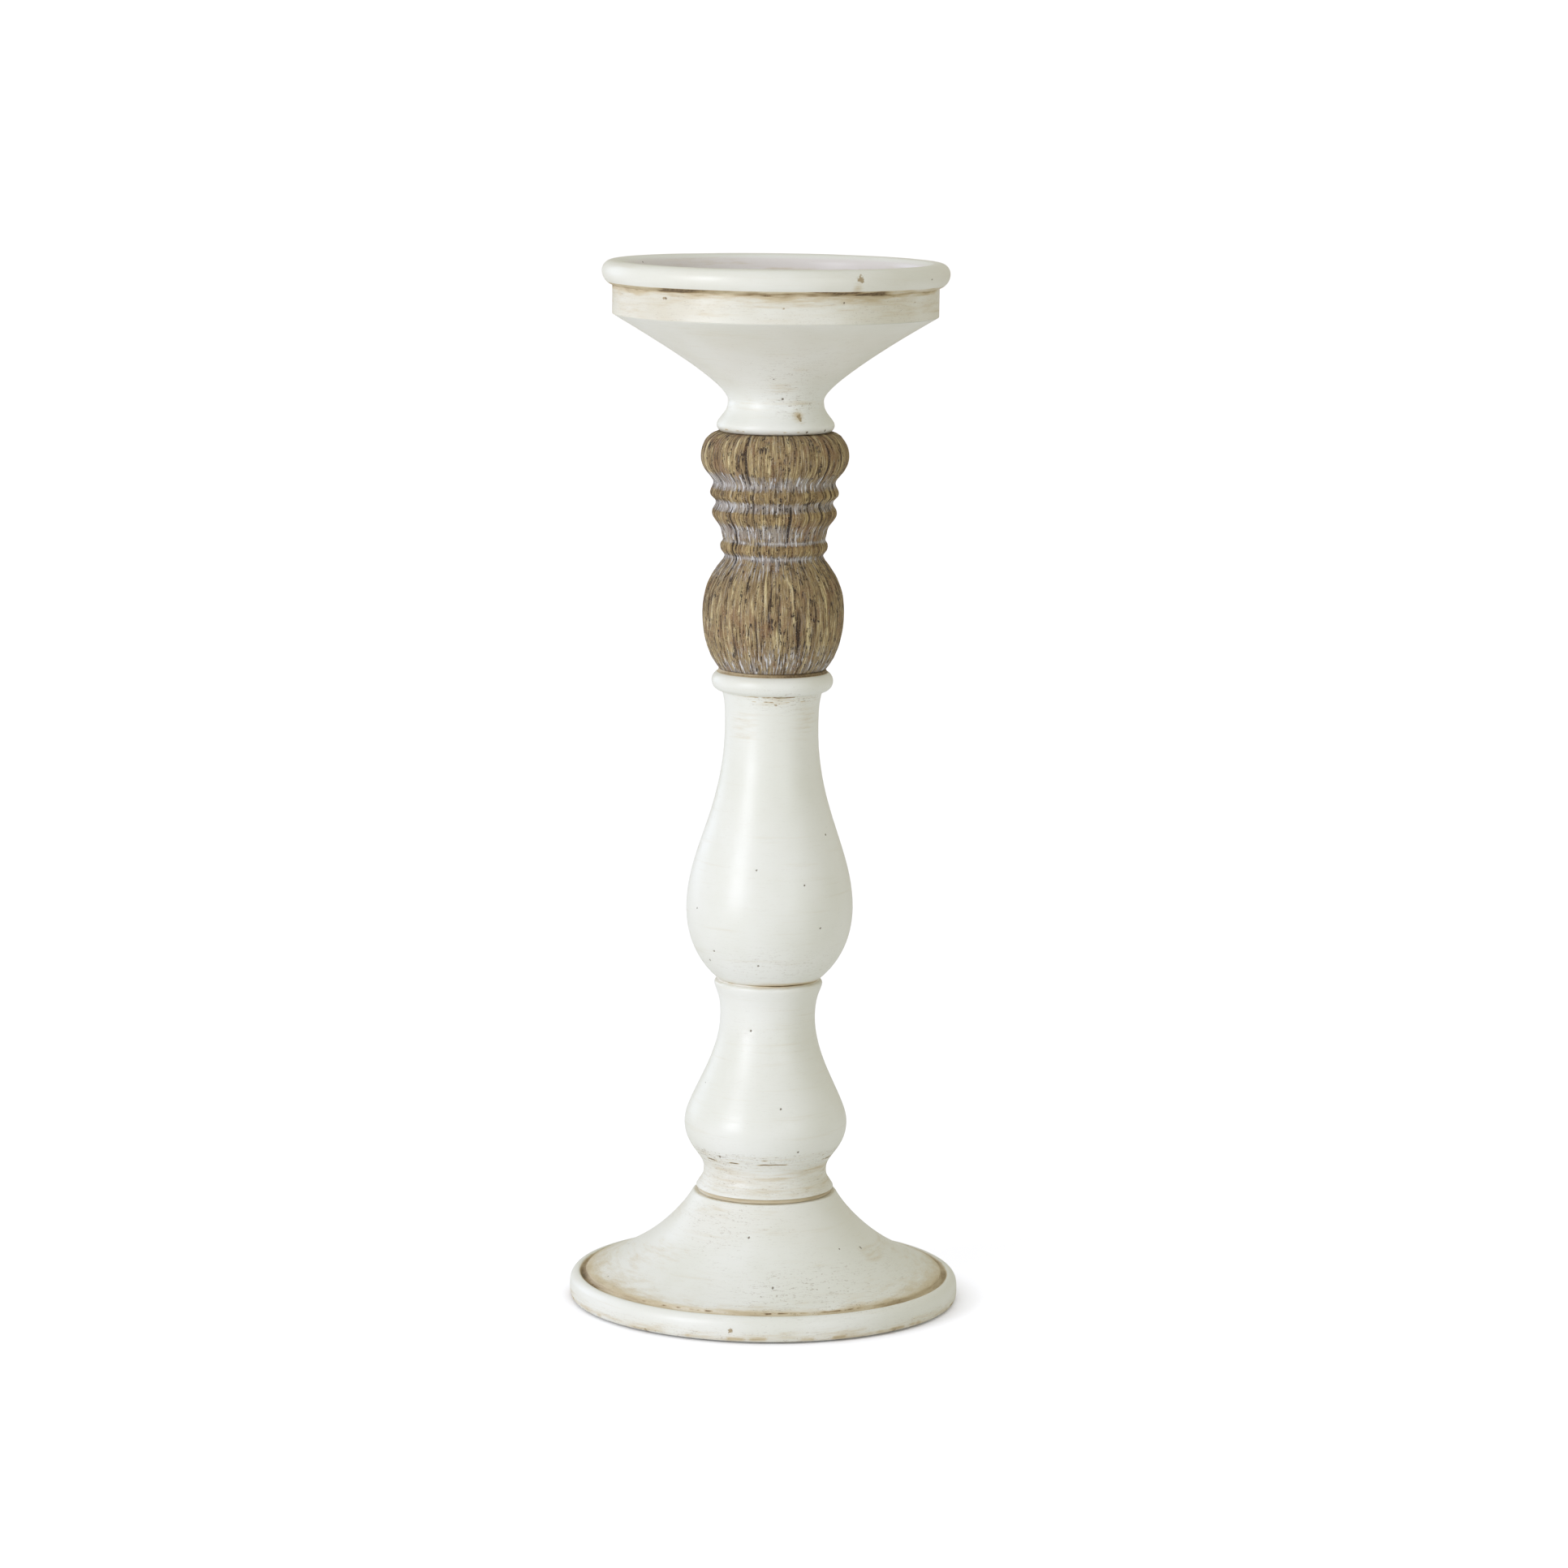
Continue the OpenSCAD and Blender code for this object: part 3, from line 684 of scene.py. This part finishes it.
def make_dish():
    skin = Skin("drip_dish", 230, 420,
                lambda r, z: ((r < 11.1) | (z < stem_top + 0.05)
                              | ((z > hoop_seam - 0.1) & (z < hoop_seam + 5.5) & (r > 46.7))),
                soften=0.14, fine=(stem_top + 1.2,))
    edge = np.exp(-np.abs(skin.z - stem_top) / 0.8)
    marks = 0.8 * skin.patch(26, 305.2, 1.3, 1.3) + 0.4 * skin.patch(38, 309.5, 4, 0.5)
    marks = marks + 0.3 * skin.patch(6, 315, 3, 1.0)
    # Painted shade: the dish's inside, above the hoop's seam, gets the darker inside grey
    inside = 1.0 * (skin.z > hoop_seam + 1)
    # Painted shade: the top of the cone, under the rim, made darker and cream
    aged_and_shade = 0.20 * skin.band(314, hoop_seam, 6)
    glaze = edge * (0.42 + 0.4 * skin.grain(5, 2, 550)) + 0.6 * marks
    glaze = glaze + 0.12 * skin.patch(18, 322, 2.0, 1.0) + 0.04
    glaze = glaze + 0.8 * skin.line(stem_top + 1.2, 0.2, 530, 0.4, 3)
    scratch = 1.0 * skin.patch(32, 308, 6, 3) + 0.5 * skin.patch(15, 320, 10, 5) + 0.06 + 0.3 * edge
    chip = 0.75 * edge * smoothstep(0.25, 0.6, skin.grain(2.2, 1.2, 520))
    chip = chip + 0.8 * skin.patch(27, 304.8, 0.8, 1.0)
    pits = ((33, stem_top + 1.0), (58, stem_top + 1.2), (8, 311), (170, 320), (250, 308))
    paint_fields(skin, 500, glaze, chip, scratch, pits, inside, aged_and_shade, haze_gain=0.15)
    return add_piece(skin, "turned_drip_dish", PAINT)


def make_hoop():
    skin = Skin("rim_hoop", 190, 520,
                lambda r, z: ((r < 47.1) & (z < rim_top - 12.1)) | ((z < hoop_seam + 0.05) & (r < 54.6)),
                soften=0.14, fine=(rim_top - 8.6,))
    outer = (skin.r > 52) * (skin.z < rim_top - 7.0)
    depth = np.maximum(rim_top - 8.0 - skin.z, 0)
    uneven = 0.45 + 0.55 * skin.grain(22, 60, 610) + 0.75 * skin.patch(-38, 345, 15, 30)
    uneven = np.clip(uneven + 0.35 * skin.patch(6, 345, 12, 30) + 0.4 * skin.patch(32, 345, 10, 30), 0.2, 1.4)
    fingers = 0.7 + 1.3 * skin.grain(8, 1.0, 620)
    drip = outer * uneven * (0.34 * np.exp(-depth / 0.6) + 0.62 * np.exp(-(depth / 2.6) ** 1.5) * fingers)
    # Painted shade: the rim's inside gets greyer further down from its top
    inside = (skin.r < 53) * smoothstep(rim_top - 0.4, rim_top - 2.0, skin.z)
    stains = 0.06 + 0.25 * np.clip(skin.grain(26, 1.6, 650), 0, 1)
    # Painted shade: the hoop's outside made darker and cream, most on the left front
    aged_and_shade = 0.16 * (skin.r > 53) + 0.12 * outer * (1 + 2 * skin.patch(-50, 345, 20, 30))
    glaze = drip + stains * outer + 0.3 * skin.line(rim_top - 8.5, 0.25, 640, 0.5, 6) * outer
    glaze = glaze + 0.35 * skin.patch(27.5, rim_top - 6, 1.4, 1.6)
    glaze = glaze + 0.35 * inside * np.clip(skin.grain(24, 1.5, 630), 0, 1)
    chip = 0.8 * skin.patch(28, rim_top - 3.0, 1.4, 1.5) + 0.7 * skin.patch(-41, rim_top - 10.6, 1.2, 0.5)
    chip = chip + 0.7 * skin.patch(3, rim_top - 12.6, 1.1, 0.4)
    chip = chip + 0.7 * skin.patch(57, rim_top - 11.4, 0.5, 0.4)
    scratch = 0.2 * outer + 0.05
    pits = ((-41, rim_top - 10.5), (24, rim_top - 10.8), (62, rim_top - 4), (140, rim_top - 4))
    paint_fields(skin, 600, glaze, chip, scratch, pits, inside, aged_and_shade, crease_gain=0.06, haze_gain=0.1)
    return add_piece(skin, "turned_rim_hoop", PAINT)


# ---------------------------------------------------------------- bare wood

# The cracks that face the front: azimuth in degrees, lowest and highest height, width and depth in mm.
CRACKS = (
    (-23, 281, 296, 0.35, 0.5),
    (16, 262, 276, 0.40, 0.6),
    (-20, 266, 283, 0.28, 0.4),
    (34, 268, 284, 0.25, 0.35),
    (4, 276, 287, 0.22, 0.3),
    (5, 228, 247, 0.30, 0.4),
    (22, 224, 243, 0.28, 0.4),
    (-14, 222, 240, 0.30, 0.4),
    (-34, 224, 232, 0.30, 0.4),
    (12, 279, 290, 0.22, 0.3),
)
CRACKS_BEHIND = 46


def make_stem():
    skin = Skin("bare_wood_stem", 256, 384,
                lambda r, z: (z < collar_top + 0.05) | (z > stem_top + 0.05) | (r < 9.3),
                soften=0.3)
    rng = np.random.default_rng(7)
    cracks = list(CRACKS)
    for _ in range(CRACKS_BEHIND):
        low = rng.uniform(collar_top, stem_top - 8)
        azimuth = rng.uniform(45, 315)
        high = low + rng.uniform(6, 20)
        wide = rng.uniform(0.22, 0.4)
        deep = rng.uniform(0.3, 0.6)
        cracks.append((azimuth, low, high, wide, deep))
    crack = np.zeros(skin.raised.shape)
    for azimuth, low, high, wide, deep in cracks:
        facing = math.radians(azimuth - 90)
        wander = 0.018 * noise(skin.z / 5, 0 * skin.z, 0 * skin.z, int(rng.integers(1000)))
        apart = (skin.turn - facing - wander + math.pi) % (2 * math.pi) - math.pi
        reach = np.clip(1 - ((2 * skin.z - low - high) / (high - low)) ** 2, 0, 1)
        line = np.exp(-0.5 * (skin.r * apart / (wide * (0.4 + 0.6 * reach))) ** 2) * smoothstep(0, 0.4, reach)
        crack = np.maximum(crack, line * (deep / 0.5))
    skin.raised += 0.20 * skin.grain(1.3, 24, 410, 2) + 0.20 * skin.grain(4.5, 26, 420) - 0.45 * crack
    coves = skin.band(263.5, 268.5, 1.5) + skin.band(272.5, 276, 0.8) + skin.band(280, 285.5, 1.4)
    left = 0.75 + 0.35 * np.cos(skin.turn - math.radians(200))
    rings = skin.band(269.5, 272.6, 0.5) + skin.band(276.8, 279.6, 0.5) + skin.band(259, 261.4, 0.4)
    ridge = 0.8 * rings + 0.25 * skin.band(286, 294, 3)
    lime = 0.62 * coves * left + 0.5 * skin.crease + 0.4 * skin.hollow
    lime = lime + 0.25 * skin.grain(9, 9, 430) - 0.5 * rings
    lime = lime + 0.7 * skin.line(262.5, 0.5, 440, 0.8, 8, 0.1)
    lime = lime + 0.6 * skin.line(257.3, 0.7, 450, 0.7, 8, 0.1)
    lime = lime + 0.50 * np.exp(-((skin.z - collar_top) / 10.0) ** 2)
    lime = lime + 0.30 * left * skin.band(250, 257, 3) - 0.08
    seam = np.exp(-((skin.z - collar_top) / 0.4) ** 2) + 0.6 * np.exp(-((skin.z - stem_top) / 0.22) ** 2)
    skin.fields = {"crack": crack, "lime": lime, "ridge": ridge, "seam": 0.8 * seam}
    return add_piece(skin, "turned_bare_wood_stem", WOOD)


# ---------------------------------------------------------------- carried-over CAD nodes

def finish_cad_node(name, material):
    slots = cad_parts[name].material_slots
    for entry in slots:
        entry.material = material


make_base()
make_lower_baluster()
make_upper_baluster()
make_stem()
make_dish()
make_hoop()
for node in ("tie_rod", "bottom_nut", "spring_washer", "bottom_washer", "top_washer", "top_nut"):
    finish_cad_node(node, STEEL)
finish_cad_node("felt_pad", FELT)
# The floor plug gets painted shade: the darker inside grey all over
finish_cad_node("floor_plug", SHADED_INSIDE_PAINT)


# ---------------------------------------------------------------- floor and light

def seen_by_camera(tree, strength, glow):
    """Adds to a strength socket's value a glow that only the camera sees, so it doesn't light the object."""
    path = tree.nodes.new("ShaderNodeLightPath")
    scale = tree.nodes.new("ShaderNodeMath")
    scale.operation = "MULTIPLY_ADD"
    tree.links.new(path.outputs["Is Camera Ray"], scale.inputs[0])
    if isinstance(glow, bpy.types.NodeSocket):
        tree.links.new(glow, scale.inputs[1])
    else:
        scale.inputs[1].default_value = glow
    scale.inputs[2].default_value = strength.default_value
    tree.links.new(scale.outputs[0], strength)


FLOOR_HALF = 60.0
FLOOR_GLOW_NEAR = 0.54
FLOOR_GLOW_FAR = 0.72
CONTACT_SHADE = 10 * MM
WORLD_STRENGTH = 0.51
WORLD_GLOW = 1.1
AIM_HEIGHT = 0.18


def add_floor():
    """A pale floor that reads as white.

    It glows less near the object, where the softboxes reach it, and least where the object touches it, which
    is a painted contact shadow."""
    data = bpy.data.meshes.new("floor")
    half = FLOOR_HALF
    corners = [(-half, -half, 0), (half, -half, 0), (half, half, 0), (-half, half, 0)]
    data.from_pydata(corners, [], [(0, 1, 2, 3)])
    floor = bpy.data.objects.new("floor", data)
    bpy.context.scene.collection.objects.link(floor)
    g = Graph("pale_floor")
    data.materials.append(g.finish(colour(242, 242, 242), 0.9, Specular_IOR_Level=0.1))
    g.shader.inputs["Emission Color"].default_value = (0.84, 0.86, 1.0, 1)
    g.shader.inputs["Emission Strength"].default_value = 0
    away = g.add("ShaderNodeVectorMath", operation="LENGTH")
    g.feed(away.inputs[0], g.coords())
    # Painted contact shadow: ambient occlusion dims the glow near the object
    contact = g.add("ShaderNodeAmbientOcclusion", samples=8)
    contact.inputs["Distance"].default_value = CONTACT_SHADE
    open_glow = g.between(away.outputs["Value"], 0.3, 2.5, FLOOR_GLOW_NEAR, FLOOR_GLOW_FAR)
    glow = g.math("MULTIPLY", open_glow, contact.outputs["AO"])
    seen_by_camera(g.tree, g.shader.inputs["Emission Strength"], glow)


def add_softbox(name, bearing, distance, height, size, power, tint):
    """A softbox that faces the object, at a bearing in degrees from the front, left being negative."""
    data = bpy.data.lights.new(name, "AREA")
    data.shape = "RECTANGLE"
    data.size, data.size_y = size
    data.energy = power
    data.color = tint
    light = bpy.data.objects.new(name, data)
    bpy.context.scene.collection.objects.link(light)
    turn = math.radians(bearing)
    light.location = (distance * math.sin(turn), -distance * math.cos(turn), height)
    light.rotation_mode = "QUATERNION"
    light.rotation_quaternion = (Vector((0, 0, AIM_HEIGHT)) - light.location).to_track_quat("-Z", "Y")


def add_world():
    world = bpy.data.worlds.new("studio")
    bpy.context.scene.world = world
    world.use_nodes = True
    back = world.node_tree.nodes["Background"]
    back.inputs["Color"].default_value = (1.0, 0.94, 0.73, 1)
    back.inputs["Strength"].default_value = WORLD_STRENGTH
    seen_by_camera(world.node_tree, back.inputs["Strength"], WORLD_GLOW)


add_floor()
add_world()
add_softbox("key_softbox", -48, 1.6, 0.55, (0.6, 1.0), 13.2, (0.85, 0.87, 1.0))
add_softbox("back_softbox", -130, 1.8, 0.6, (0.9, 1.1), 5.2, (0.66, 0.77, 1.0))
add_softbox("fill_softbox", 33, 2.0, 0.5, (0.9, 0.9), 4.6, (0.82, 0.89, 1.0))
add_softbox("top_softbox", 0, 0.1, 1.9, (1.4, 1.4), 5.0, (0.66, 0.78, 1.0))
bpy.context.scene.view_settings.view_transform = "Standard"
